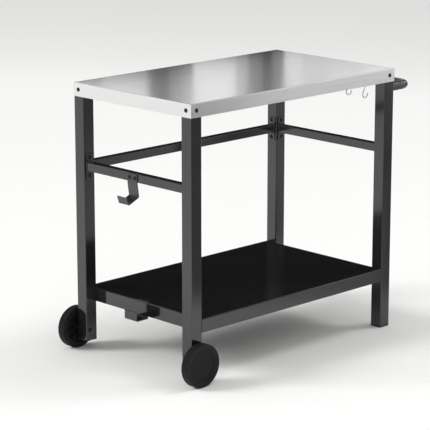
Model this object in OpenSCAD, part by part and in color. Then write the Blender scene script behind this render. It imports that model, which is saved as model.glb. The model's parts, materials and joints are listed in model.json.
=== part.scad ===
// Rolling grill table: stainless worktop, black tube frame, shelf, two wheels,
// push handle with S-hooks, and a hook and bracket that carry a gas cylinder.
// X runs from the wheel end to the handle, Y from front to rear, Z up from the floor.
// The origin is on the floor under the middle of the whole table.

/* [Table] */
// Height of the worktop's surface above the floor
table_h = 810; // [720:5:900]
// Length of the worktop
top_l = 850; // [700:5:1000]
// Depth of the worktop from front to rear
top_w = 494; // [430:2:600]
// Thickness of the worktop's stainless sheet
top_sheet = 1; // [0.8:0.1:1.5]
// Depth of the worktop's folded rim
top_rim = 40; // [36:1:55]
// Outer radius of the worktop's folded edges
top_bend = 2; // [1.8:0.1:3]
// Width of the lip turned in at the bottom of the rim
top_lip = 12; // [8:1:16]
// Gap between the lips and the legs
lip_gap = 2; // [1:0.5:5]

/* [Legs] */
// Outside width of a leg's square tube
leg_w = 40; // [38:1:46]
// Wall of the leg tube
leg_wall = 1.5; // [1.2:0.1:2]
// Corner radius of the leg tube
leg_r = 2.5; // [2.2:0.1:4]
// Height of the short legs' lower end above the floor
short_leg_z = 32; // [24:1:40]
// Thickness of the plastic rim under a leg
foot_rim = 4; // [3:0.5:8]
// Depth of a plug inside a leg
plug_depth = 13; // [8:1:14]
// Clearance between a plug and the tube around it
plug_gap = 0.2; // [0.1:0.05:0.4]
// Wall of a plug
plug_wall = 2.2; // [1.6:0.1:3]

/* [Rails] */
// Outside width of a rail's square tube
rail_w = 25; // [20:1:26]
// Wall of the rail tube
rail_wall = 1.5; // [1.2:0.1:2]
// Corner radius of the rail tube
rail_r = 2; // [1.8:0.1:3]
// Height of the rails' middle above the floor
rail_z = 563.5; // [480:0.5:640]
// Thickness of an end plate
plate_t = 2.5; // [2:0.1:4]
// Width of an end plate
plate_w = 28; // [26:1:30]
// Height of an end plate
plate_h = 76; // [70:1:90]
// Corner radius of an end plate
plate_r = 5; // [2:0.5:8]
// Distance between the two bolts of an end plate
plate_pitch = 56; // [50:1:60]

/* [Shelf] */
// Height of the shelf's surface above the floor
shelf_z = 189; // [160:1:300]
// Thickness of the shelf's sheet
shelf_sheet = 1.2; // [1:0.1:1.6]
// Depth of the shelf's folded rim
shelf_rim = 40; // [36:1:50]
// Outer radius of the shelf's folded edges
shelf_bend = 2.4; // [2.2:0.1:3.5]
// Width of the lip turned in at the bottom of the rim
shelf_lip = 12; // [8:1:16]
// Distance between the two shelf bolts in a leg
shelf_pitch = 18; // [16:1:20]

/* [Stiffeners] */
// Width of the channel under the worktop and the shelf
hat_w = 50; // [30:1:70]
// Height of the channel
hat_h = 20; // [12:1:24]
// Width of each of the channel's welded flanges
hat_flange = 14; // [10:1:20]
// Thickness of the channel's sheet
hat_sheet = 1; // [0.8:0.1:1.5]
// Distance from the worktop channel's end to the rim
top_hat_end = 60; // [50:1:100]
// Distance from the shelf channel's end to the rim
shelf_hat_end = 60; // [50:1:100]

/* [Fasteners] */
// Thread diameter of the frame's bolts
bolt_d = 6; // [5:0.5:6]
// Clearance round a bolt in its hole
bolt_gap = 0.25; // [0.1:0.05:0.4]
// Diameter of a bolt's head
head_d = 12.5; // [11:0.5:13]
// Height of a bolt's head
head_h = 3.4; // [2.8:0.1:4]
// Height of the straight edge of a bolt's head
head_edge = 0.8; // [0.5:0.1:1.2]
// Width of the hexagon socket in a bolt's head, across its corners
socket_d = 4.6; // [3:0.1:5]
// Depth of the hexagon socket
socket_depth = 2; // [1.5:0.1:2.4]
// Length of the bolt beyond its insert
bolt_past = 1; // [0.5:0.5:1]
// Outside diameter of a threaded insert
insert_d = 9; // [8.6:0.1:9.2]
// Length of a threaded insert
insert_l = 11; // [9:0.5:11.5]
// Diameter of the bulge that clamps an insert behind the wall
bulge_d = 11.6; // [10.8:0.1:12]
// Length of that bulge
bulge_l = 3; // [2:0.5:4]
// Clearance round an insert in its wall, and round a bolt in its insert
thread_gap = 0.05; // [0.03:0.01:0.1]
// Width of a nut across its corners
nut_d = 11.4; // [10:0.1:12]
// Height of a nut
nut_h = 5; // [4:0.5:6]

/* [Cylinder hook and bracket] */
// Thickness of the hook's and the bracket's steel strip
strip_t = 3; // [2.5:0.5:4]
// Inner radius of the strip's bends
strip_r = 2; // [1:0.5:4]
// Distance of hook and bracket from the table's middle towards the rear
tank_y = 3; // [-40:1:40]
// Width of the hook's strip
hook_w = 40; // [36:1:60]
// Distance between the hook's two bolts
hook_pitch = 21; // [18:1:22]
// Distance from the rail's top down to the hook's upper edge
hook_inset = 1.5; // [1:0.5:4]
// Length of the hook's strip flat on the rail
hook_plate = 25; // [22:1:40]
// Length of the hook's leaning strip
hook_drop = 38; // [25:1:60]
// Angle by which that strip leans in
hook_lean = 8; // [0:1:15]
// Length of the hook's seat
hook_seat = 36; // [25:1:60]
// Angle by which the seat falls outwards
hook_fall = 25; // [0:1:30]
// Length of the hook's lip
hook_lip = 20; // [12:1:40]
// Angle by which the lip leans out
hook_lip_lean = 18; // [0:1:30]
// Width of the bracket's strip
bracket_w = 50; // [44:1:80]
// Distance between the bracket's two bolts
bracket_pitch = 26; // [20:1:30]
// Length of the bracket's strip on the shelf
bracket_top = 25; // [22:1:40]
// Distance from the shelf's edge to the bracket's bolts
bracket_bolt_in = 12; // [10:1:14]
// Length that the bracket hangs below the shelf's surface
bracket_drop = 47; // [45:1:70]
// Length of the bracket's seat
bracket_reach = 44; // [30:1:70]
// Height of the bracket's lip
bracket_lip = 28; // [15:1:40]

/* [Wheels] */
// Outside diameter of a wheel
wheel_d = 127; // [110:1:150]
// Width of a wheel
wheel_w = 26; // [22:1:36]
// Gap between a wheel and its leg
wheel_gap = 8; // [6:0.5:14]
// Distance of the axle from the leg's middle towards the wheel end
axle_off = 6.5; // [0:0.5:8]
// Bore of the tyre
tyre_bore = 100; // [88:1:104]
// Radius of the tyre's shoulders
shoulder_r = 3; // [2:0.5:5]
// Width of the slope from the tyre's outer side down to the cover
slope_w = 6; // [4:0.5:7]
// Width of a groove in the tread
groove_w = 1.4; // [0.8:0.1:2]
// Depth of a groove in the tread
groove_depth = 1; // [0.5:0.1:2]
// Number of grooves in the tread
grooves = 3; // [1:1:5]
// Depth from the tyre's side down to the cover
face_step = 1.6; // [1:0.1:3]
// Clearance between tyre, hub rim and cover
wheel_fit = 0.05; // [0.03:0.01:0.15]
// Thickness of the hub's rim
hub_rim = 4; // [3:0.5:6]
// Thickness of the hub's web
hub_web = 3; // [2:0.5:5]
// Number of ribs on the hub
ribs = 8; // [5:1:12]
// Thickness of a rib
rib_t = 2.4; // [1.6:0.1:4]
// Diameter of the hub's boss
boss_d = 24; // [20:1:30]
// Thickness of the wheel cover
cover_t = 2.4; // [2:0.1:3]
// Diameter of the cover's flat middle
cover_flat_d = 84; // [60:1:86]
// Depth of the cover's dish
cover_dish = 0.8; // [0.4:0.1:1.2]
// Height of the cover's snap ring
snap_h = 5; // [3:0.5:6]
// Wall of the cover's snap ring
snap_t = 1.5; // [1:0.1:2]

/* [Axles] */
// Outside diameter of the bushing on which a wheel turns
bushing_d = 12; // [11.5:0.5:13]
// Radial clearance of the hub on its bushing
axle_gap = 0.08; // [0.03:0.01:0.1]
// Diameter of the axle bolt
axle_d = 8; // [7:0.5:8]
// Diameter of the axle bolt's head
axle_head_d = 14; // [13:0.5:17]
// Gap between the axle bolt's end and the wheel's cover
end_room = 1; // [0.5:0.5:2]
// Thickness of a washer
washer_t = 1.6; // [1:0.1:2]
// Diameter of a washer
washer_d = 18; // [16:0.5:20]
// Gap at each end of the hub's boss
boss_gap = 0.3; // [0.2:0.05:0.6]
// Length of the axle beyond its nut
axle_past = 2; // [1:0.5:4]
// Width of the axle's nut across its corners
axle_nut_d = 15; // [13:0.1:15]
// Height of the axle's nut
axle_nut_h = 6.5; // [5:0.5:8]
// Wall of the sleeve round the axle inside the leg
sleeve_wall = 1.6; // [1:0.1:2]

/* [Handle] */
// Diameter of the handle's tube
handle_d = 22; // [19:0.5:25]
// Wall of the handle's tube
handle_wall = 1.5; // [1.2:0.1:2]
// Radius of the handle's bends at the middle of the tube
handle_bend = 60; // [40:1:70]
// Distance that the handle stands out from the worktop
handle_out = 121; // [105:1:160]
// Height of the handle's middle above the floor
handle_z = 746; // [640:1:748]
// Length of the handle's tube inside each leg
handle_seat = 30; // [24:1:34]
// Clearance round the handle's tube in the leg's wall
handle_fit = 0.15; // [0.05:0.05:0.3]
// Length of the plug in each end of the handle
handle_plug = 20; // [14:1:24]
// Clearance between a plug and the handle's tube
handle_plug_gap = 0.1; // [0.05:0.05:0.2]

/* [S-hooks] */
// Diameter of an S-hook's wire
wire_d = 4; // [3:0.5:5]
// Clearance between an S-hook and the handle
wire_gap = 0.3; // [0.2:0.1:1]
// Radius of the lower loop at the middle of the wire
loop_r = 11.5; // [8:0.5:16]
// Distance from the handle's middle to the hook's lowest point
hook_hang = 71; // [64:1:100]
// Distance between neighbouring S-hooks
s_pitch = 69; // [50:1:74]

/* [Hidden] */
$fn = 64;
wheel_fn = 192;          // fineness of the wheels' large circles
dome_fn = 256;           // fineness of the large circle that a domed head is part of
cut = 1;                 // overrun of a cutting tool
bend_steps = 6;          // straight steps in a bend of the strip
mouth_angle = 165;       // end of an S-hook's upper loop, from the table's outward side
tip_angle = 364;         // end of its lower loop
tip_step = 0.2;          // step from the wire down to its rounded tip
s_hooks = 4;

// The whole table's length and the places along it
axle_in = top_sheet + leg_w / 2 - axle_off;
wheel_out = wheel_d / 2 - axle_in;
ring_r = handle_d / 2 + wire_gap + wire_d / 2;
bar_out = handle_out - handle_d / 2;
over_l = wheel_out + top_l + bar_out + ring_r + wire_d / 2;
x_wheel_end = wheel_out - over_l / 2;
x_handle_end = x_wheel_end + top_l;
leg_in = top_sheet + leg_w / 2;
x_wheel_leg = x_wheel_end + leg_in;
x_handle_leg = x_handle_end - leg_in;
x_axle = x_wheel_end + axle_in;
x_bar = x_handle_end + bar_out;
x_mid = (x_wheel_end + x_handle_end) / 2;

// Places across it
y_leg = top_w / 2 - leg_in;
y_leg_out = y_leg + leg_w / 2;
y_leg_in = y_leg - leg_w / 2;

// Heights
leg_top = table_h - top_bend;
rim_screw_z = table_h - top_rim / 2;
wheel_r = wheel_d / 2;

// Rails
rail_x_l = x_handle_leg - x_wheel_leg - leg_w;
rail_y_l = 2 * y_leg_in;

// Shelf between the legs
shelf_l = rail_x_l;
shelf_w = 2 * y_leg_out;
x_shelf = x_wheel_leg + leg_w / 2;
shelf_bolt_z = shelf_z - shelf_rim / 2;

// Bolts and inserts
bolt_hole = bolt_d + 2 * bolt_gap;
insert_hole = insert_d + 2 * thread_gap;
insert_bore = bolt_d + 2 * thread_gap;
insert_reach = insert_l + bolt_past;
handle_hole = handle_d + 2 * handle_fit;
x_handle_bolt = x_handle_leg + leg_w / 2 - handle_seat + handle_plug / 2;

// Wheel, seen from its inner side outwards
y_wheel = y_leg_out + wheel_gap;
tyre_r = tyre_bore / 2;
hub_r = tyre_r - wheel_fit;
hub_top = wheel_w - face_step - cover_t;
boss_low = washer_t + boss_gap - wheel_gap;
axle_end = hub_top - end_room;
bushing_end = axle_end - axle_past - axle_nut_h - washer_t;
boss_top = bushing_end - boss_gap;
web_z = boss_top - hub_web - boss_gap;
sleeve_d = axle_d + 2 * (bolt_gap + sleeve_wall);

// S-hook, about the handle's middle
loop_z = -(hook_hang - wire_d / 2 - loop_r);
cross_angle = asin((ring_r + loop_r) / loop_z);
shank_l = sqrt(loop_z * loop_z - (ring_r + loop_r) * (ring_r + loop_r));

sides = [-1, 1];

// Outlines and shapes that several pieces share

module rounded_square(l, w, r) {
  square([l - 2 * r, w], center = true);
  square([l, w - 2 * r], center = true);
  for (sx = sides, sy = sides)
    translate([sx * (l / 2 - r), sy * (w / 2 - r)]) circle(r);
}

module square_tube(w, wall, r, l) {
  linear_extrude(l)
    difference() {
      rounded_square(w, w, r);
      rounded_square(w - 2 * wall, w - 2 * wall, r - wall);
    }
}

module bent_top(w, h, r) {
  translate([-w / 2, -h]) square([w, h - r]);
  translate([r - w / 2, -h]) square([w - 2 * r, h]);
  for (s = sides) translate([s * (w / 2 - r), -r]) circle(r);
}

// Block with its top at z = 0 and its long edges rounded, as folded sheet leaves them
module folded_block(l, w, h, r) {
  intersection() {
    rotate([90, 0, 90]) translate([0, 0, -l / 2]) linear_extrude(l) bent_top(w, h, r);
    rotate([90, 0, 0]) translate([0, 0, -w / 2]) linear_extrude(w) bent_top(l, h, r);
  }
}

// Tray of sheet t, open below, with lips turned in between the corners
module folded_tray(l, w, h, t, r, lip, corner) {
  difference() {
    folded_block(l, w, h, r);
    difference() {
      translate([0, 0, -t]) folded_block(l - 2 * t, w - 2 * t, h, r - t);
      tray_lips(l, w, h, t, lip, corner);
    }
  }
}

module tray_lips(l, w, h, t, lip, corner) {
  for (s = sides) {
    translate([corner - l / 2, s > 0 ? w / 2 - t - lip : t - w / 2, -h])
      cube([l - 2 * corner, lip, t]);
    translate([s > 0 ? l / 2 - t - lip : t - l / 2, corner - w / 2, -h])
      cube([lip, w - 2 * corner, t]);
  }
}

// Channel of hat section, welded on by its two flanges at z = 0
module hat_channel(l) {
  half = hat_w / 2;
  edge = half + hat_flange;
  rotate([90, 0, 90]) translate([0, 0, -l / 2]) linear_extrude(l)
    polygon([
      [-edge, 0], [hat_sheet - half, 0], [hat_sheet - half, hat_sheet - hat_h],
      [half - hat_sheet, hat_sheet - hat_h], [half - hat_sheet, 0], [edge, 0],
      [edge, -hat_sheet], [half, -hat_sheet], [half, -hat_h],
      [-half, -hat_h], [-half, -hat_sheet], [-edge, -hat_sheet]
    ]);
}

// Domed head on z = 0 with a hexagon socket, and the shank below it
module domed_head(d, h) {
  rise = h - head_edge;
  dome_r = (d * d / 4 + rise * rise) / (2 * rise);
  difference() {
    rotate_extrude()
      intersection() {
        translate([0, h - dome_r]) circle(dome_r, $fn = dome_fn);
        square([d / 2, h]);
      }
    translate([0, 0, h - socket_depth]) cylinder(d = socket_d, h = socket_depth + cut, $fn = 6);
  }
}

module socket_bolt(l, d = bolt_d, d_head = head_d) {
  domed_head(d_head, head_h);
  translate([0, 0, -l]) cylinder(d = d, h = l);
}

// Insert from the outer face of a wall, at z = 0, inwards along -Z
module insert(wall) {
  difference() {
    union() {
      translate([0, 0, -insert_l]) cylinder(d = insert_d, h = insert_l);
      translate([0, 0, -wall - bulge_l]) cylinder(d = bulge_d, h = bulge_l);
    }
    translate([0, 0, -insert_l - cut]) cylinder(d = insert_bore, h = insert_l + 2 * cut);
  }
}

module insert_cut(wall) {
  translate([0, 0, -wall - cut]) cylinder(d = insert_hole, h = wall + 2 * cut);
}

module hex_nut(d, h, bore) {
  difference() {
    cylinder(d = d, h = h, $fn = 6);
    translate([0, 0, -cut]) cylinder(d = bore, h = h + 2 * cut);
  }
}

// Turns a piece that points along +Z so that it points along +X, -X, +Y or -Y
module face_x(s) { rotate([0, s * 90, 0]) children(); }
module face_y(s) { rotate([-s * 90, 0, 0]) children(); }

// Path along a bent strip: points with their headings, with arcs at the bends
function arc_path(p, a, turn, r) = [
  for (k = [0 : bend_steps])
    let (b = a + turn * k / bend_steps, s = sign(turn))
    [p + r * [s * (sin(b) - sin(a)), s * (cos(a) - cos(b))], b]
];

// Radius of the path's own face in a bend: it is the inner face in a right turn
function path_r(turn) = turn > 0 ? strip_r + strip_t : strip_r;

function strip_path(p, a, lengths, turns, i = 0) =
  let (q = p + lengths[i] * [cos(a), sin(a)])
  i == len(turns) ? [[p, a], [q, a]] :
    let (arc = arc_path(q, a, turns[i], path_r(turns[i])))
    concat([[p, a]], arc, strip_path(arc[bend_steps][0], a + turns[i], lengths, turns, i + 1));

module strip_outline(p, a, lengths, turns) {
  path = strip_path(p, a, lengths, turns);
  far = [for (q = path) q[0] + strip_t * [-sin(q[1]), cos(q[1])]];
  near = [for (q = path) q[0]];
  polygon(concat(near, [for (k = [len(far) - 1 : -1 : 0]) far[k]]));
}

// Section l by w with its two far corners rounded
module rounded_section(l, w, r) {
  square([l - r, w]);
  translate([0, r]) square([l, w - 2 * r]);
  for (y = [r, w - r]) translate([l - r, y]) circle(r);
}

// Worktop

module worktop() {
  color("gainsboro")
    difference() {
      translate([x_mid, 0, table_h])
        folded_tray(top_l, top_w, top_rim, top_sheet, top_bend, top_lip, leg_in + leg_w / 2 + lip_gap);
      for (s = sides, x = [x_wheel_leg, x_handle_leg])
        translate([x, s * top_w / 2, rim_screw_z]) face_y(s) rim_hole();
      for (s = sides, y = sides)
        translate([s > 0 ? x_handle_end : x_wheel_end, y * y_leg, rim_screw_z]) face_x(s) rim_hole();
    }
}

module rim_hole() {
  translate([0, 0, -top_sheet - cut]) cylinder(d = bolt_hole, h = top_sheet + 2 * cut);
}

module worktop_stiffener() {
  color("silver")
    translate([x_mid, 0, table_h - top_sheet]) hat_channel(top_l - 2 * top_hat_end);
}

module worktop_screws() {
  color("dimgray") {
    for (s = sides, x = [x_wheel_leg, x_handle_leg])
      translate([x, s * top_w / 2, rim_screw_z]) face_y(s) socket_bolt(top_sheet + insert_reach);
    for (s = sides, y = sides)
      translate([s > 0 ? x_handle_end : x_wheel_end, y * y_leg, rim_screw_z])
        face_x(s) socket_bolt(top_sheet + insert_reach);
  }
}

// Legs: s is -1 at the wheel end and 1 at the handle end, t is -1 in front and 1 at the rear

module leg(s, t) {
  x = s > 0 ? x_handle_leg : x_wheel_leg;
  low = (s > 0 ? 0 : short_leg_z) + foot_rim;
  color("black")
    difference() {
      translate([x, t * y_leg, low]) square_tube(leg_w, leg_wall, leg_r, leg_top - low);
      leg_inserts(s, t) insert_cut(leg_wall);
      if (s > 0) {
        translate([x + leg_w / 2 - leg_wall, t * y_leg, handle_z]) face_x(1) through_wall(handle_hole);
        translate([x_handle_bolt, t * y_leg_in, handle_z]) face_y(t) through_wall(bolt_hole);
      }
      else
        translate([x_axle, t * y_leg_in, wheel_r])
          face_y(t) through_leg(axle_d + 2 * bolt_gap);
    }
}

module through_leg(d) {
  translate([0, 0, -cut]) cylinder(d = d, h = leg_w + 2 * cut);
}

module through_wall(d) {
  translate([0, 0, -cut]) cylinder(d = d, h = leg_wall + 2 * cut);
}

// Puts a child at each insert of one leg, pointing out of the tube's face
module leg_inserts(s, t) {
  x = s > 0 ? x_handle_leg : x_wheel_leg;
  translate([x + s * leg_w / 2, t * y_leg, rim_screw_z]) face_x(s) children();
  translate([x, t * y_leg_out, rim_screw_z]) face_y(t) children();
  for (u = sides) {
    translate([x - s * leg_w / 2, t * y_leg + u * shelf_pitch / 2, shelf_bolt_z])
      face_x(-s) children();
    translate([x, t * y_leg_in, rail_z + u * plate_pitch / 2]) face_y(-t) children();
    if (t > 0)
      translate([x - s * leg_w / 2, t * y_leg, rail_z + u * plate_pitch / 2])
        face_x(-s) children();
  }
}

module leg_plug(rim, depth) {
  inner = leg_w - 2 * leg_wall - 2 * plug_gap;
  linear_extrude(rim) rounded_square(leg_w, leg_w, leg_r);
  translate([0, 0, rim])
    square_tube(inner, plug_wall, plug_wall + plug_gap, depth);
  for (a = [0, 90])
    rotate([0, 0, a]) translate([plug_wall / 2 - inner / 2, -plug_wall / 2, rim])
      cube([inner - plug_wall, plug_wall, depth]);
}

module foot(t) {
  color("#202020") translate([x_handle_leg, t * y_leg, 0]) leg_plug(foot_rim, plug_depth);
}

module leg_plugs() {
  color("#202020")
    for (t = sides)
      translate([x_wheel_leg, t * y_leg, short_leg_z]) leg_plug(foot_rim, plug_depth);
}

// Rails

module rail_tube(l) {
  color("black")
    translate([0, 0, plate_t]) square_tube(rail_w, rail_wall, rail_r, l - 2 * plate_t);
}

module rail_plates(l) {
  color("black")
    for (z = [0, l - plate_t])
      translate([0, 0, z])
        difference() {
          linear_extrude(plate_t) rounded_square(plate_h, plate_w, plate_r);
          for (u = sides)
            translate([u * plate_pitch / 2, 0, -cut]) cylinder(d = bolt_hole, h = plate_t + 2 * cut);
        }
}

module rail_bolts(l) {
  color("dimgray")
    for (u = sides) {
      translate([u * plate_pitch / 2, 0, plate_t]) socket_bolt(plate_t + insert_reach);
      translate([u * plate_pitch / 2, 0, l - plate_t])
        rotate([180, 0, 0]) socket_bolt(plate_t + insert_reach);
    }
}

module at_rear_rail() {
  translate([x_shelf, y_leg, rail_z]) rotate([0, 90, 0]) children();
}

module at_end_rail(x) {
  translate([x, -y_leg_in, rail_z]) rotate([0, 90, 90]) children();
}

module rail_wheel_end() {
  difference() {
    at_end_rail(x_wheel_leg) rail_tube(rail_y_l);
    hook_inserts() insert_cut(rail_wall);
  }
}

module hook_inserts() {
  for (u = sides)
    translate([x_wheel_leg - rail_w / 2, tank_y + u * hook_pitch / 2, rail_z])
      face_x(-1) children();
}

module threaded_inserts() {
  color("lightgray") {
    for (s = sides, t = sides) leg_inserts(s, t) insert(leg_wall);
    hook_inserts() insert(rail_wall);
  }
}

// Shelf

module shelf() {
  color("#1c1c1c")
    difference() {
      translate([x_mid, 0, shelf_z])
        folded_tray(shelf_l, shelf_w, shelf_rim, shelf_sheet, shelf_bend, shelf_lip, leg_w + lip_gap);
      shelf_bolt_places() cylinder(d = bolt_hole, h = 2 * (shelf_sheet + cut), center = true);
      bracket_bolt_places() cylinder(d = bolt_hole, h = 2 * (shelf_sheet + strip_t + cut), center = true);
    }
}

// Puts a child at each shelf bolt, on the inside of the rim, pointing into the tray
module shelf_bolt_places() {
  for (s = sides, t = sides, u = sides)
    translate([x_mid + s * (shelf_l / 2 - shelf_sheet), t * y_leg + u * shelf_pitch / 2, shelf_bolt_z])
      face_x(-s) children();
}

module shelf_stiffener() {
  color("#1c1c1c")
    translate([x_mid, 0, shelf_z - shelf_sheet]) hat_channel(shelf_l - 2 * shelf_hat_end);
}

module shelf_bolts() {
  color("dimgray")
    shelf_bolt_places() socket_bolt(shelf_sheet + insert_reach);
}

// Hook and bracket for the gas cylinder

module tank_hook() {
  fall = hook_fall - 180;
  color("black")
    difference() {
      translate([x_wheel_leg - rail_w / 2 - strip_t, tank_y + hook_w / 2, rail_z + rail_w / 2 - hook_inset])
        rotate([90, 0, 0]) linear_extrude(hook_w)
          strip_outline([0, 0], -90, [hook_plate, hook_drop, hook_seat, hook_lip],
                        [hook_lean, fall + 90 - hook_lean, -90 - hook_fall + hook_lip_lean]);
      hook_inserts() cylinder(d = bolt_hole, h = 2 * (strip_t + cut), center = true);
    }
}

module tank_hook_bolts() {
  color("dimgray")
    hook_inserts() translate([0, 0, strip_t]) socket_bolt(strip_t + insert_reach);
}

module tank_bracket() {
  bend = strip_r + strip_t;
  color("black")
    difference() {
      translate([x_shelf - strip_t, tank_y + bracket_w / 2, shelf_z])
        rotate([90, 0, 0]) linear_extrude(bracket_w)
          strip_outline([strip_t + bracket_top, strip_t], 180,
                        [strip_t + bracket_top - bend, bracket_drop - strip_t - 2 * strip_r,
                         bracket_reach - strip_t - 2 * strip_r, bracket_lip - bend],
                        [90, -90, -90]);
      bracket_bolt_places() cylinder(d = bolt_hole, h = 2 * (shelf_sheet + strip_t + cut), center = true);
    }
}

module bracket_bolt_places() {
  for (u = sides)
    translate([x_shelf + bracket_bolt_in, tank_y + u * bracket_pitch / 2, shelf_z]) children();
}

module tank_bracket_bolts() {
  color("dimgray")
    bracket_bolt_places() translate([0, 0, strip_t])
      socket_bolt(strip_t + shelf_sheet + nut_h + bolt_past);
}

module tank_bracket_nuts() {
  color("lightgray")
    bracket_bolt_places() translate([0, 0, -shelf_sheet - nut_h]) hex_nut(nut_d, nut_h, insert_bore);
}

// Wheels: each piece is modelled on z, from the wheel's inner side outwards

module at_wheel(t) {
  translate([x_axle, t * y_wheel, wheel_r]) face_y(t) children();
}

module tyre(t) {
  band = wheel_r - tyre_r;
  pitch = wheel_w / (grooves + 1);
  color("#181818")
    at_wheel(t)
      rotate_extrude($fn = wheel_fn)
        translate([tyre_r, 0])
          difference() {
            rounded_section(band, wheel_w, shoulder_r);
            for (k = [1 : grooves])
              translate([band - groove_depth, k * pitch - groove_w / 2])
                square([groove_depth + cut, groove_w]);
            polygon([[0, wheel_w - face_step], [slope_w, wheel_w], [slope_w, wheel_w + cut],
                     [-cut, wheel_w + cut], [-cut, wheel_w - face_step]]);
          }
}

module hub(t) {
  inner = hub_r - hub_rim;
  color("#262626")
    at_wheel(t)
      difference() {
        union() {
          rotate_extrude() translate([inner, 0]) square([hub_rim, hub_top]);
          translate([0, 0, web_z]) cylinder(r = inner + hub_rim / 2, h = hub_web);
          translate([0, 0, boss_low]) cylinder(d = boss_d, h = boss_top - boss_low);
          for (k = [0 : ribs - 1])
            rotate([0, 0, 360 * k / ribs]) translate([boss_d / 4, -rib_t / 2, face_step])
              cube([inner + hub_rim / 2 - boss_d / 4, rib_t, web_z + hub_web / 2 - face_step]);
        }
        translate([0, 0, boss_low - cut])
          cylinder(d = bushing_d + 2 * axle_gap, h = boss_top - boss_low + 2 * cut);
      }
}

module hub_cover(t) {
  snap_r = hub_r - hub_rim - wheel_fit;
  color("#1e1e1e")
    at_wheel(t)
      difference() {
        union() {
          translate([0, 0, hub_top]) cylinder(r = hub_r, h = cover_t, $fn = wheel_fn);
          translate([0, 0, hub_top - snap_h]) cylinder(r = snap_r, h = snap_h + cover_t / 2);
        }
        translate([0, 0, hub_top + cover_t - cover_dish])
          cylinder(d = cover_flat_d, h = cover_dish + cut, $fn = wheel_fn);
        translate([0, 0, hub_top - snap_h - cut]) cylinder(r = snap_r - snap_t, h = snap_h + cut);
      }
}

// Bolt from the inner side of the leg, through its sleeve and the bushing, to a nut under the cover
module axle(t) {
  low = -wheel_gap - leg_w;
  color("dimgray")
    at_wheel(t) {
      translate([0, 0, low]) rotate([180, 0, 0]) domed_head(axle_head_d, head_h);
      translate([0, 0, low]) cylinder(d = axle_d, h = axle_end - low);
    }
}

module tube(d, bore, h) {
  difference() {
    cylinder(d = d, h = h);
    translate([0, 0, -cut]) cylinder(d = bore, h = h + 2 * cut);
  }
}

module axle_bushings() {
  color("silver")
    for (t = sides)
      at_wheel(t)
        translate([0, 0, -wheel_gap]) tube(bushing_d, axle_d + 2 * thread_gap, wheel_gap + bushing_end);
}

module axle_washers() {
  color("silver")
    for (t = sides)
      at_wheel(t) {
        translate([0, 0, -wheel_gap]) tube(washer_d, bushing_d + 2 * thread_gap, washer_t);
        translate([0, 0, bushing_end]) tube(washer_d, axle_d + 2 * thread_gap, washer_t);
      }
}

module axle_nuts() {
  color("silver")
    for (t = sides)
      at_wheel(t)
        translate([0, 0, bushing_end + washer_t])
          hex_nut(axle_nut_d, axle_nut_h, axle_d + 2 * thread_gap);
}

module axle_sleeves() {
  color("silver")
    for (t = sides)
      at_wheel(t)
        translate([0, 0, leg_wall - wheel_gap - leg_w])
          tube(sleeve_d, axle_d + 2 * bolt_gap, leg_w - 2 * leg_wall);
}

// Handle: its ends pass through the legs' outer walls and are held by a bolt from the inner side

module handle_shape(r, over) {
  x_face = x_handle_leg + leg_w / 2;
  arm = x_bar - handle_bend - x_face;
  for (t = sides) {
    translate([x_face - handle_seat - over, t * y_leg, handle_z])
      face_x(1) cylinder(r = r, h = arm + handle_seat + over);
    translate([x_bar - handle_bend, t * (y_leg - handle_bend), handle_z])
      rotate([0, 0, t > 0 ? 0 : -90]) rotate_extrude(angle = 90) translate([handle_bend, 0]) circle(r);
  }
  translate([x_bar, handle_bend - y_leg, handle_z])
    face_y(1) cylinder(r = r, h = 2 * (y_leg - handle_bend));
}

// Puts a child at each of the handle's bolts, pointing from the leg's inner face into the leg
module handle_bolt_places() {
  for (t = sides)
    translate([x_handle_bolt, t * y_leg_in, handle_z]) face_y(t) children();
}

module handle() {
  color("#151515")
    difference() {
      handle_shape(handle_d / 2, 0);
      handle_shape(handle_d / 2 - handle_wall, cut);
      handle_bolt_places() cylinder(d = bolt_hole, h = leg_w / 2);
    }
}

module handle_plugs() {
  color("silver")
    difference() {
      for (t = sides)
        translate([x_handle_bolt - handle_plug / 2, t * y_leg, handle_z])
          face_x(1) cylinder(r = handle_d / 2 - handle_wall - handle_plug_gap, h = handle_plug);
      handle_bolt_places() cylinder(d = bolt_d + 2 * thread_gap, h = leg_w);
    }
}

module handle_bolts() {
  color("dimgray")
    handle_bolt_places() mirror([0, 0, 1]) socket_bolt((leg_w + handle_d) / 2 - handle_wall - bolt_past);
}

// S-hooks: two loops of wire that open to opposite sides, joined by a straight shank

module s_hook(k) {
  color("silver")
    translate([x_bar, (k - (s_hooks + 1) / 2) * s_pitch, handle_z])
      rotate([90, 0, 0]) translate(ring_r * [cos(cross_angle), sin(cross_angle), 0])
        rotate([0, 0, 180 + cross_angle]) {
          rotate([-90, 0, 0]) cylinder(d = wire_d, h = shank_l);
          translate([0, shank_l, 0]) wire_loop(loop_r, tip_angle - 180 - cross_angle);
          rotate([0, 0, 180]) wire_loop(ring_r, mouth_angle - cross_angle);
        }
}

// Wire that heads along +Y, turns left through the angle a and ends in a rounded tip
module wire_loop(r, a) {
  translate([-r, 0, 0]) {
    rotate_extrude(angle = a) translate([r, 0]) circle(d = wire_d);
    rotate([0, 0, a]) translate([r, 0, 0]) sphere(d = wire_d - 2 * tip_step);
  }
}

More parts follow.
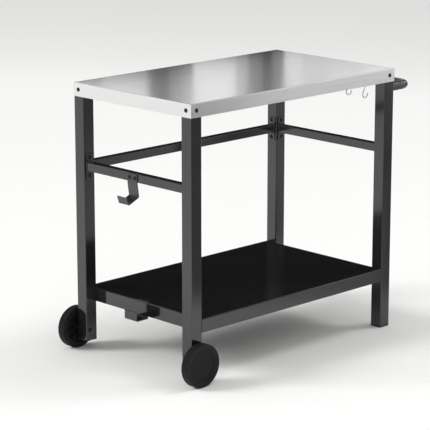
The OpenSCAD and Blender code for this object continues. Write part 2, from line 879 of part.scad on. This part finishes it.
worktop();
worktop_stiffener();
worktop_screws();
leg(-1, -1);  // leg_wheel_front
leg(-1, 1);  // leg_wheel_rear
leg(1, -1);  // leg_handle_front
leg(1, 1);  // leg_handle_rear
foot(-1);  // foot_front
foot(1);  // foot_rear
leg_plugs();
at_rear_rail() rail_tube(rail_x_l);  // rail_rear
rail_wheel_end();
at_end_rail(x_handle_leg) rail_tube(rail_y_l);  // rail_handle_end
at_rear_rail() rail_plates(rail_x_l);  // rail_rear_plates
at_end_rail(x_wheel_leg) rail_plates(rail_y_l);  // rail_wheel_end_plates
at_end_rail(x_handle_leg) rail_plates(rail_y_l);  // rail_handle_end_plates
at_rear_rail() rail_bolts(rail_x_l);  // rail_rear_bolts
at_end_rail(x_wheel_leg) rail_bolts(rail_y_l);  // rail_wheel_end_bolts
at_end_rail(x_handle_leg) rail_bolts(rail_y_l);  // rail_handle_end_bolts
threaded_inserts();
shelf();
shelf_stiffener();
shelf_bolts();
tank_hook();
tank_hook_bolts();
tank_bracket();
tank_bracket_bolts();
tank_bracket_nuts();
tyre(-1);  // tyre_front
hub(-1);  // hub_front
hub_cover(-1);  // hub_cover_front
axle(-1);  // axle_front
tyre(1);  // tyre_rear
hub(1);  // hub_rear
hub_cover(1);  // hub_cover_rear
axle(1);  // axle_rear
axle_bushings();
axle_washers();
axle_nuts();
axle_sleeves();
handle();
handle_plugs();
handle_bolts();
s_hook(1);  // s_hook_1
s_hook(2);  // s_hook_2
s_hook(3);  // s_hook_3
s_hook(4);  // s_hook_4
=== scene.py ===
import json
import math

import bmesh
import bpy
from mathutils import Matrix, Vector


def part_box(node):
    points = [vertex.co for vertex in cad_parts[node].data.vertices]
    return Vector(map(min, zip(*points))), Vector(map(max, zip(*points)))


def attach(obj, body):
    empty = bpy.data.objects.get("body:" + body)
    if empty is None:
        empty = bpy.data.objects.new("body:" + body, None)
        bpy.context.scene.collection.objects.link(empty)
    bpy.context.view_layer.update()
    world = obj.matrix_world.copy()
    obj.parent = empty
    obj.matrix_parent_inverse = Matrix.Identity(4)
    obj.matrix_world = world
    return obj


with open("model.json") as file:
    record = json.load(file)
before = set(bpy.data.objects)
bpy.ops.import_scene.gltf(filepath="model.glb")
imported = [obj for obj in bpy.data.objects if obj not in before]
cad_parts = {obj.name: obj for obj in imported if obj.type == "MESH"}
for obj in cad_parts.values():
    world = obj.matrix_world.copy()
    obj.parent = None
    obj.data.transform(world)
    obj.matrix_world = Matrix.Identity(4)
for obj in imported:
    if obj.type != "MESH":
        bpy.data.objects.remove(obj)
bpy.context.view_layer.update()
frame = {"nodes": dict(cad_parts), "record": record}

nodes = frame["nodes"]
slotOfNode = {row["node"]: row["material_slot"] for row in frame["record"]["subparts"]}


# Camera: the front corner at the wheel end turns towards it

cameraSet = {
    "place": (-4.208, -4.1645, 1.827),
    "heading": 45.60,  # degrees from the table's length towards the rear
    "down": 13.77,  # degrees below level
    "lens": 168.75,  # millimetres, as the sensor
    "sensor": 36,
    "farthest": 100,  # metres that the camera sees
}


def makeCamera():
    camData = bpy.data.cameras.new("photoCamera")
    camData.lens = cameraSet["lens"]
    camData.sensor_width = cameraSet["sensor"]
    camData.clip_end = cameraSet["farthest"]
    cam = bpy.data.objects.new("photoCamera", camData)
    bpy.context.scene.collection.objects.link(cam)
    heading = math.radians(cameraSet["heading"])
    down = math.radians(cameraSet["down"])
    level = Vector((math.cos(heading), math.sin(heading), 0))
    look = level * math.cos(down) - Vector((0, 0, math.sin(down)))
    cam.location = cameraSet["place"]
    cam.rotation_euler = look.to_track_quat("-Z", "Y").to_euler()
    bpy.context.scene.camera = cam
    print("camera placed")


makeCamera()


# Materials: small helpers for the node trees

noiseSpan = (0.3, 0.7)  # where nearly all of a noise's values lie


def newMaterial(name):
    mat = bpy.data.materials.new(name)
    mat.use_nodes = True
    tree = mat.node_tree
    shader = tree.nodes["Principled BSDF"]
    return mat, tree, shader


def objectPlace(tree, scale):
    coords = tree.nodes.new("ShaderNodeTexCoord")
    mapping = tree.nodes.new("ShaderNodeMapping")
    mapping.inputs["Scale"].default_value = scale
    tree.links.new(coords.outputs["Object"], mapping.inputs["Vector"])
    return mapping.outputs["Vector"]


def noiseAt(tree, place, detail=4.0, roughness=0.6):
    noise = tree.nodes.new("ShaderNodeTexNoise")
    noise.inputs["Scale"].default_value = 1.0
    noise.inputs["Detail"].default_value = detail
    noise.inputs["Roughness"].default_value = roughness
    tree.links.new(place, noise.inputs["Vector"])
    return noise.outputs["Fac"]


def rangeOf(tree, value, low, high, fromLow=noiseSpan[0], fromHigh=noiseSpan[1]):
    ranged = tree.nodes.new("ShaderNodeMapRange")
    ranged.inputs["From Min"].default_value = fromLow
    ranged.inputs["From Max"].default_value = fromHigh
    ranged.inputs["To Min"].default_value = low
    ranged.inputs["To Max"].default_value = high
    tree.links.new(value, ranged.inputs["Value"])
    return ranged.outputs["Result"]


def colourBetween(tree, value, darker, lighter):
    ramp = tree.nodes.new("ShaderNodeValToRGB")
    for stop, place, colour in zip(ramp.color_ramp.elements, noiseSpan, (darker, lighter)):
        stop.position = place
        stop.color = (*colour, 1)
    tree.links.new(value, ramp.inputs["Fac"])
    return ramp.outputs["Color"]


def bumpOf(tree, value, depth):
    bump = tree.nodes.new("ShaderNodeBump")
    bump.inputs["Strength"].default_value = 1.0
    bump.inputs["Distance"].default_value = depth
    tree.links.new(value, bump.inputs["Height"])
    return bump.outputs["Normal"]


brushedSheet = {
    "dark": (0.77, 0.77, 0.775),
    "light": (0.87, 0.87, 0.875),
    "rough": (0.17, 0.25),
    "stroke": (4, 900, 900),  # per metre: the brushing runs along the table
    "bands": (1.5, 380, 380),  # broader lines of the brushing
    "depth": 0.000012,
}


def makeBrushedSheet():
    mat, tree, shader = newMaterial("brushedSheet")
    strokes = noiseAt(tree, objectPlace(tree, brushedSheet["stroke"]), 3)
    bands = noiseAt(tree, objectPlace(tree, brushedSheet["bands"]), 4)
    shader.inputs["Metallic"].default_value = 1.0
    tree.links.new(colourBetween(tree, bands, brushedSheet["dark"], brushedSheet["light"]),
                   shader.inputs["Base Color"])
    tree.links.new(rangeOf(tree, strokes, *brushedSheet["rough"]), shader.inputs["Roughness"])
    tree.links.new(bumpOf(tree, strokes, brushedSheet["depth"]), shader.inputs["Normal"])
    return mat


blackCoat = {
    "dark": (0.008, 0.008, 0.009),
    "light": (0.011, 0.011, 0.012),
    "rough": (0.1, 0.14),
    "gloss": 0.9,
    "grain": 1400,  # per metre: the coat's fine orange peel
    "cloud": 9,  # per metre: slow changes of its colour and gloss
    "depth": 0.000004,
}


def makeBlackCoat():
    mat, tree, shader = newMaterial("blackCoat")
    grain = noiseAt(tree, objectPlace(tree, (blackCoat["grain"],) * 3), 2)
    clouds = noiseAt(tree, objectPlace(tree, (blackCoat["cloud"],) * 3), 3)
    tree.links.new(colourBetween(tree, clouds, blackCoat["dark"], blackCoat["light"]),
                   shader.inputs["Base Color"])
    tree.links.new(rangeOf(tree, clouds, *blackCoat["rough"]), shader.inputs["Roughness"])
    shader.inputs["Specular IOR Level"].default_value = blackCoat["gloss"]
    tree.links.new(bumpOf(tree, grain, blackCoat["depth"]), shader.inputs["Normal"])
    return mat


# Plain steels, plastics and rubber: colours, roughness and the size of their grain per metre
smallFinishes = {
    "darkScrew": {"metal": 0.0, "dark": (0.004, 0.004, 0.004), "light": (0.008, 0.008, 0.008),
                  "rough": (0.14, 0.2), "gloss": 0.5, "grain": 700, "depth": 0.00001},
    "zincSteel": {"metal": 1.0, "dark": (0.5, 0.51, 0.53), "light": (0.64, 0.65, 0.67),
                  "rough": (0.28, 0.42), "grain": 500, "depth": 0.00001},
    "hookWire": {"metal": 1.0, "dark": (0.66, 0.66, 0.67), "light": (0.78, 0.78, 0.79),
                 "rough": (0.12, 0.2), "grain": 400, "depth": 0.000005},
    "plugPlastic": {"metal": 0.0, "dark": (0.014, 0.014, 0.014), "light": (0.022, 0.022, 0.022),
                    "rough": (0.45, 0.6), "grain": 1500, "depth": 0.00004},
    "wheelPlastic": {"metal": 0.0, "dark": (0.009, 0.009, 0.009), "light": (0.013, 0.013, 0.013),
                     "rough": (0.45, 0.55), "gloss": 0.15, "grain": 1500, "depth": 0.00003},
    "tyreRubber": {"metal": 0.0, "dark": (0.008, 0.008, 0.008), "light": (0.013, 0.013, 0.013),
                   "rough": (0.52, 0.66), "gloss": 0.24, "grain": 1100, "depth": 0.00005},
}


def makeSmallFinish(name):
    values = smallFinishes[name]
    mat, tree, shader = newMaterial(name)
    grain = noiseAt(tree, objectPlace(tree, (values["grain"],) * 3), 3)
    shader.inputs["Metallic"].default_value = values["metal"]
    shader.inputs["Specular IOR Level"].default_value = values.get("gloss", 0.5)
    tree.links.new(colourBetween(tree, grain, values["dark"], values["light"]), shader.inputs["Base Color"])
    tree.links.new(rangeOf(tree, grain, *values["rough"]), shader.inputs["Roughness"])
    tree.links.new(bumpOf(tree, grain, values["depth"]), shader.inputs["Normal"])
    return mat


finishes = {name: makeSmallFinish(name) for name in smallFinishes}
finishes["brushedSheet"] = makeBrushedSheet()
finishes["blackCoat"] = makeBlackCoat()
print("finishes made:", len(finishes))

finishOfSlot = {
    "stainless": "brushedSheet",
    "black_coat": "blackCoat",
    "dark_screws": "darkScrew",
    "zinc_steel": "zincSteel",
    "black_plastic": "plugPlastic",
    "wheel_plastic": "wheelPlastic",
    "tyre_rubber": "tyreRubber",
    "hook_wire": "hookWire",
}


def dressNodes():
    for name, node in nodes.items():
        finish = finishes[finishOfSlot[slotOfNode[name]]]
        node.data.materials.clear()
        node.data.materials.append(finish)
    print("nodes dressed:", len(nodes))


dressNodes()


# Weld beads where the rails meet their end plates: one closed bead round each end of a rail

mm = 0.001
railWeld = {
    "side": 1.3,  # mm out from the rail's sides, where the plate ends just beyond
    "top": 2.6,  # mm out from the rail's top and bottom
    "along": 2.2,  # mm along the rail
    "corner": 2.0,  # mm, the radius that the bead turns at the rail's edges
    "sunk": 0.4,  # mm that the bead reaches into the rail and the plate
    "ripple": 0.14,  # share by which the bead swells and shrinks
    "pitch": 1.7,  # mm from one ripple to the next
    "step": 0.35,  # mm between the bead's rings
    "bend": 4,  # fewest rings round an edge
    "profile": 6,  # faces from the plate to the rail
    "power": 1.3,  # over 1 the bead's face is flatter than a quarter round
    "merge": 0.001,  # mm within which points become one
}


def railOutline(width):
    # points round the rounded square, with their outward directions
    half, corner, step = width / 2, railWeld["corner"], railWeld["step"]
    flat = half - corner
    points = []
    for quarter in range(4):
        turn = quarter * math.pi / 2
        across = Vector((math.cos(turn), math.sin(turn)))
        up = Vector((-math.sin(turn), math.cos(turn)))
        runs = round(2 * flat / step)
        points += [(across * half + up * (-flat + 2 * flat * i / runs), across) for i in range(runs)]
        bends = max(railWeld["bend"], round(corner * math.pi / 2 / step))
        for i in range(bends):
            angle = math.pi / 2 * i / bends
            out = across * math.cos(angle) + up * math.sin(angle)
            points.append((across * flat + up * flat + out * corner, out))
    return points


def beadSection(wave):
    # the bead's face from the plate to the rail: outward as a share of its reach, and mm along the rail
    along = railWeld["along"] * wave
    power = railWeld["power"]
    angles = [math.pi / 2 * i / railWeld["profile"] for i in range(railWeld["profile"] + 1)]
    return [(math.cos(angle) ** power, along * math.sin(angle) ** power) for angle in angles]


def beadRings(width):
    # one ring of points for each place round the rail, as across, up and along in mm
    sunk = railWeld["sunk"]
    outline = railOutline(width)
    rings = []
    walked = 0
    for index, (point, out) in enumerate(outline):
        if index:
            walked += (point - outline[index - 1][0]).length
        wave = 1 + railWeld["ripple"] * math.sin(2 * math.pi * walked / railWeld["pitch"])
        reach = (railWeld["side"] + (railWeld["top"] - railWeld["side"]) * out.y ** 2) * wave
        section = [(-sunk, -sunk), (reach, -sunk)]
        section += [(reach * far, deep) for far, deep in beadSection(wave)]
        section.append((-sunk, railWeld["along"] * wave))
        rings.append([(*(point + out * far), deep) for far, deep in section])
    return rings


def ringFaces(count, size):
    faces = []
    for i in range(count):
        near, far = i * size, (i + 1) % count * size
        for j in range(size):
            side = (j + 1) % size
            faces.append((near + j, near + side, far + side, far + j))
    return faces


def cleanMesh(mesh):
    shaped = bmesh.new()
    shaped.from_mesh(mesh)
    bmesh.ops.remove_doubles(shaped, verts=shaped.verts, dist=railWeld["merge"] * mm)
    bmesh.ops.recalc_face_normals(shaped, faces=shaped.faces)
    shaped.to_mesh(mesh)
    shaped.free()
    mesh.shade_smooth()


def makeWeldBead(name, centre, inward, width):
    # centre: the rail's axis at the plate's face, inward: along the rail, away from the plate
    up = Vector((0, 0, 1))
    across = up.cross(inward)
    rings = beadRings(width)
    verts = [centre + (across * x + up * y + inward * z) * mm for ring in rings for x, y, z in ring]
    mesh = bpy.data.meshes.new(name)
    mesh.from_pydata(verts, [], ringFaces(len(rings), len(rings[0])))
    cleanMesh(mesh)
    mesh.materials.append(finishes["blackCoat"])
    bead = bpy.data.objects.new(name, mesh)
    bpy.context.scene.collection.objects.link(bead)
    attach(bead, "frame")


def makeRailWelds():
    count = 0
    for rail in ("rail_rear", "rail_wheel_end", "rail_handle_end"):
        low, high = (Vector(corner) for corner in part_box(rail))
        size = high - low
        axis = 0 if size.x > size.y else 1
        for side in (-1, 1):
            centre = (low + high) / 2
            centre[axis] = high[axis] if side > 0 else low[axis]
            inward = Vector((0, 0, 0))
            inward[axis] = -side
            count += 1
            makeWeldBead("rail_weld_%d" % count, centre, inward, size.z / mm)
    print("rail welds made:", count)


makeRailWelds()


# Studio: floor, lamps and surroundings

studio = {
    "floorSize": 60,
    "skyLevel": 0.52,  # light from the sky on dull surfaces
    "skyInGloss": 0.01,  # what glossy surfaces see between the softboxes
    "skyInPicture": 0.84,  # behind the floor's far end
    "ceiling": {"height": 4.0, "width": 5.0, "level": 0.55},  # only glossy faces see it
    # two suns: where each stands, its brightness and its spread in degrees, which softens shadows
    "sideLamp": {"towards": (0.6, -0.3, 1.0), "level": 0.52, "spread": 20},
    "rearLamp": {"towards": (-1.25, 0.95, 1.0), "level": 1.7, "spread": 22},
}

# Upright softboxes round the table, which the steel and the coat reflect. Each side has its turn
# from the side that the worktop shows in the photo, in degrees, its distance from the table's
# middle, its lower and upper edge, and strips: from and to across, brightness, where 1 is white,
# and a lower edge of the strip's own, where it has one. Sides with glossOnly give no light to dull
# faces. The first side is the near one, whose strips the worktop shows as its bands
softboxes = [
    {"turn": 0, "ring": 0.8, "high": 1.9, "glossOnly": True,
     "strips": [(-1.173, -0.607, 0.84, 1.03), (-0.607, -0.473, 0.84, 1.01), (-0.473, -0.317, 0.78, 0.98),
                (-0.317, -0.247, 0.18, 0.97), (-0.247, -0.207, 0.34, 0.96), (-0.207, -0.167, 0.42, 0.95),
                (-0.167, -0.023, 0.74, 0.91), (-0.023, 0.02, 0.44, 0.9), (0.02, 0.067, 0.22, 0.9),
                (0.067, 0.1, 0.1, 0.9), (0.1, 0.14, 0.2, 0.88), (0.14, 0.2, 0.64, 0.87),
                (0.2, 0.293, 0.56, 0.87), (0.293, 0.41, 0.62, 0.88), (0.41, 0.993, 0.76, 0.9)]},
    {"turn": 90, "ring": 6.0, "low": 0.1, "high": 1.7, "glossOnly": True, "strips": [(-2.8, 2.8, 0.5)]},
    {"turn": -90, "ring": 6.0, "low": 0.1, "high": 1.7, "glossOnly": True,
     "strips": [(-2.6, -0.5, 0.3), (-0.5, -0.15, 0.3), (-0.15, 0.25, 1.5), (0.25, 2.6, 0.1)]},
]

# Softboxes of one height and distance, which close the circle: turn, from and to across,
# brightness, and whether only glossy faces see the box
circle = {
    "ring": 3.0, "low": 1.31, "high": 3.0,
    "boxes": [(45, -0.84, -0.3, 0.8, True), (-45, 0.14, 0.776, 0.8, True), (75, -0.8, 0.8, 0.8, False),
              (97.5, -0.42, 0.42, 0.7, True), (120, -0.8, 0.8, 0.8, False), (150, -0.8, 0.8, 0.8, True),
              (180, -0.8, 0.8, 0.8, False), (-150, -0.8, 0.8, 0.8, True), (-120, -0.8, 0.8, 0.8, False),
              (-97.5, -0.42, 0.42, 0.7, True), (-75, -0.8, 0.8, 0.8, False)],
}

lampPower = 4  # watts per square metre that make a softbox look white


# Tones of the papers: along a direction from one place to another in metres, and the stops between them.
# The floor's paper has a pale tint, and it is white round the table and turns grey towards the far end:
# painted shade where the studio's light falls off behind the table
floorPaperAndShade = {"pale": (1.0, 1.0, 0.985), "across": (0.8785, 0.539, 0), "from": 0.0, "to": 10.0,
              "tones": [(0.42, 0.95), (0.46, 0.912), (0.51, 0.865), (0.62, 0.808), (0.75, 0.77)]}

# A dark card on the floor, which the camera doesn't see and only glossy faces reflect, so its tones are
# painted reflections: it is pale next to the table, and further out it has dark and light fields, which
# paint darker and lighter reflections on the long faces that look at them
cardAway = (0.639, -0.776, 0)
paintedReflectionCard = {
    "pale": (0.95, 0.95, 0.93),
    "near": 0.6, "reach": 6.0, "half": 6.0, "height": 0.002,
    "edge": {"across": cardAway, "from": 0.0, "to": 6.0, "tones": [(0.105, 0.0), (0.15, 1.0)]},
    "fields": {"across": (0.70, 0.714, 0), "from": -1.0, "to": 1.0,
               "tones": [(0.2, 0.22), (0.275, 0.25), (0.35, 0.6), (0.53, 0.62), (0.6, 0.2), (0.66, 0.2),
                         (0.72, 0.66)]},
}


def toneAlong(tree, values):
    coords = tree.nodes.new("ShaderNodeTexCoord")
    along = tree.nodes.new("ShaderNodeVectorMath")
    along.operation = "DOT_PRODUCT"
    along.inputs[1].default_value = values["across"]
    tree.links.new(coords.outputs["Object"], along.inputs[0])
    share = rangeOf(tree, along.outputs["Value"], 0, 1, values["from"], values["to"])
    ramp = tree.nodes.new("ShaderNodeValToRGB")
    stops = ramp.color_ramp.elements
    for place, tone in values["tones"][2:]:
        stops.new(place)
    for stop, (place, tone) in zip(stops, values["tones"]):
        stop.position = place
        stop.color = (tone, tone, tone, 1)
    tree.links.new(share, ramp.inputs["Fac"])
    return ramp.outputs["Color"]


def mixedColour(tree, blend, share, first, second):
    mix = tree.nodes.new("ShaderNodeMix")
    mix.data_type = "RGBA"
    mix.blend_type = blend
    for value, place in ((share, "Factor"), (first, "A"), (second, "B")):
        if isinstance(value, bpy.types.NodeSocket):
            tree.links.new(value, mix.inputs[place])
        else:
            mix.inputs[place].default_value = value
    return mix.outputs["Result"]


def makePaper(name, colourOf):
    mat, tree, shader = newMaterial(name)
    tree.links.new(colourOf(tree), shader.inputs["Base Color"])
    shader.inputs["Roughness"].default_value = 1.0
    shader.inputs["Specular IOR Level"].default_value = 0.0
    return mat


def floorColour(tree):
    # the paper's pale tint, greyed towards the far end by painted shade
    return mixedColour(tree, "MULTIPLY", 1, (*floorPaperAndShade["pale"], 1), toneAlong(tree, floorPaperAndShade))


def paintedReflectionColour(tree):
    # painted reflections for the glossy faces: pale near the table, then dark and light fields
    return mixedColour(tree, "MIX", toneAlong(tree, paintedReflectionCard["edge"]), (*paintedReflectionCard["pale"], 1),
                       toneAlong(tree, paintedReflectionCard["fields"]))


def makePaperSheet(name, corners, mat):
    mesh = bpy.data.meshes.new(name)
    mesh.from_pydata(corners, [], [(0, 1, 2, 3)])
    mesh.materials.append(mat)
    sheet = bpy.data.objects.new(name, mesh)
    bpy.context.scene.collection.objects.link(sheet)
    return sheet


def makeFloor():
    half = studio["floorSize"] / 2
    makePaperSheet("studioFloor", [(-half, -half, 0), (half, -half, 0), (half, half, 0), (-half, half, 0)],
                   makePaper("floorPaintAndShade", floorColour))
    print("floor laid")


def makePaintedReflectionCard():
    away = Vector(cardAway)
    aside = Vector((-away.y, away.x, 0)) * paintedReflectionCard["half"]
    near = away * paintedReflectionCard["near"]
    far = away * paintedReflectionCard["reach"]
    height = Vector((0, 0, paintedReflectionCard["height"]))
    corners = [near - aside, far - aside, far + aside, near + aside]
    # a sheet that paints reflections on the glossy faces, unseen by the camera and by dull faces
    card = makePaperSheet("paintedReflectionCard", [corner + height for corner in corners],
                          makePaper("paintedReflectionPaint", paintedReflectionColour))
    card.visible_camera = False
    card.visible_diffuse = False
    card.visible_shadow = False
    print("card laid")


def makeLamp(name):
    values = studio[name]
    lampData = bpy.data.lights.new(name, "SUN")
    lampData.energy = values["level"]
    lampData.angle = math.radians(values["spread"])
    lamp = bpy.data.objects.new(name, lampData)
    lamp.rotation_euler = Vector(values["towards"]).to_track_quat("Z", "Y").to_euler()
    lamp.visible_glossy = False
    bpy.context.scene.collection.objects.link(lamp)


def makeSoftbox(side, start, end, level, low=None):
    out = math.radians(cameraSet["heading"] + side["turn"])
    away = Vector((math.cos(out), math.sin(out), 0))
    across = Vector((math.sin(out), -math.cos(out), 0))
    if low is None:
        low = side["low"]
    width, height = end - start, side["high"] - low
    boxData = bpy.data.lights.new("softbox", "AREA")
    boxData.shape = "RECTANGLE"
    boxData.size = width
    boxData.size_y = height
    boxData.energy = lampPower * level * width * height
    box = bpy.data.objects.new("softbox", boxData)
    box.location = away * side["ring"] + across * (start + end) / 2 + Vector((0, 0, low + height / 2))
    box.rotation_euler = away.to_track_quat("Z", "Y").to_euler()
    box.visible_camera = False
    box.visible_diffuse = not side["glossOnly"]
    bpy.context.scene.collection.objects.link(box)


def makeCeiling():
    values = studio["ceiling"]
    panelData = bpy.data.lights.new("ceiling", "AREA")
    panelData.size = values["width"]
    panelData.energy = lampPower * values["level"] * values["width"] ** 2
    panel = bpy.data.objects.new("ceiling", panelData)
    panel.location = (0, 0, values["height"])
    panel.visible_camera = False
    panel.visible_diffuse = False
    bpy.context.scene.collection.objects.link(panel)


def makeSoftboxes():
    for side in softboxes:
        for strip in side["strips"]:
            makeSoftbox(side, *strip)
    for turn, start, end, level, glossOnly in circle["boxes"]:
        makeSoftbox({**circle, "turn": turn, "glossOnly": glossOnly}, start, end, level)
    print("softboxes set:", sum(len(side["strips"]) for side in softboxes) + len(circle["boxes"]))


def makeWorld():
    world = bpy.data.worlds.new("studioWorld")
    world.use_nodes = True
    bpy.context.scene.world = world
    tree = world.node_tree
    tree.nodes.clear()
    rays = tree.nodes.new("ShaderNodeLightPath")
    out = tree.nodes.new("ShaderNodeOutputWorld")

    def background(level):
        light = tree.nodes.new("ShaderNodeBackground")
        light.inputs["Color"].default_value = (1, 1, 1, 1)
        light.inputs["Strength"].default_value = level
        return light.outputs["Background"]

    def mixed(ray, first, second):
        mix = tree.nodes.new("ShaderNodeMixShader")
        tree.links.new(rays.outputs[ray], mix.inputs["Fac"])
        tree.links.new(first, mix.inputs[1])
        tree.links.new(second, mix.inputs[2])
        return mix.outputs["Shader"]

    unseen = mixed("Is Glossy Ray", background(studio["skyLevel"]), background(studio["skyInGloss"]))
    seen = background(studio["skyInPicture"])
    tree.links.new(mixed("Is Camera Ray", unseen, seen), out.inputs["Surface"])
    print("surroundings set")


makeFloor()
makePaintedReflectionCard()
makeLamp("sideLamp")
makeLamp("rearLamp")
makeSoftboxes()
makeCeiling()
makeWorld()

bpy.context.scene.view_settings.view_transform = "Standard"
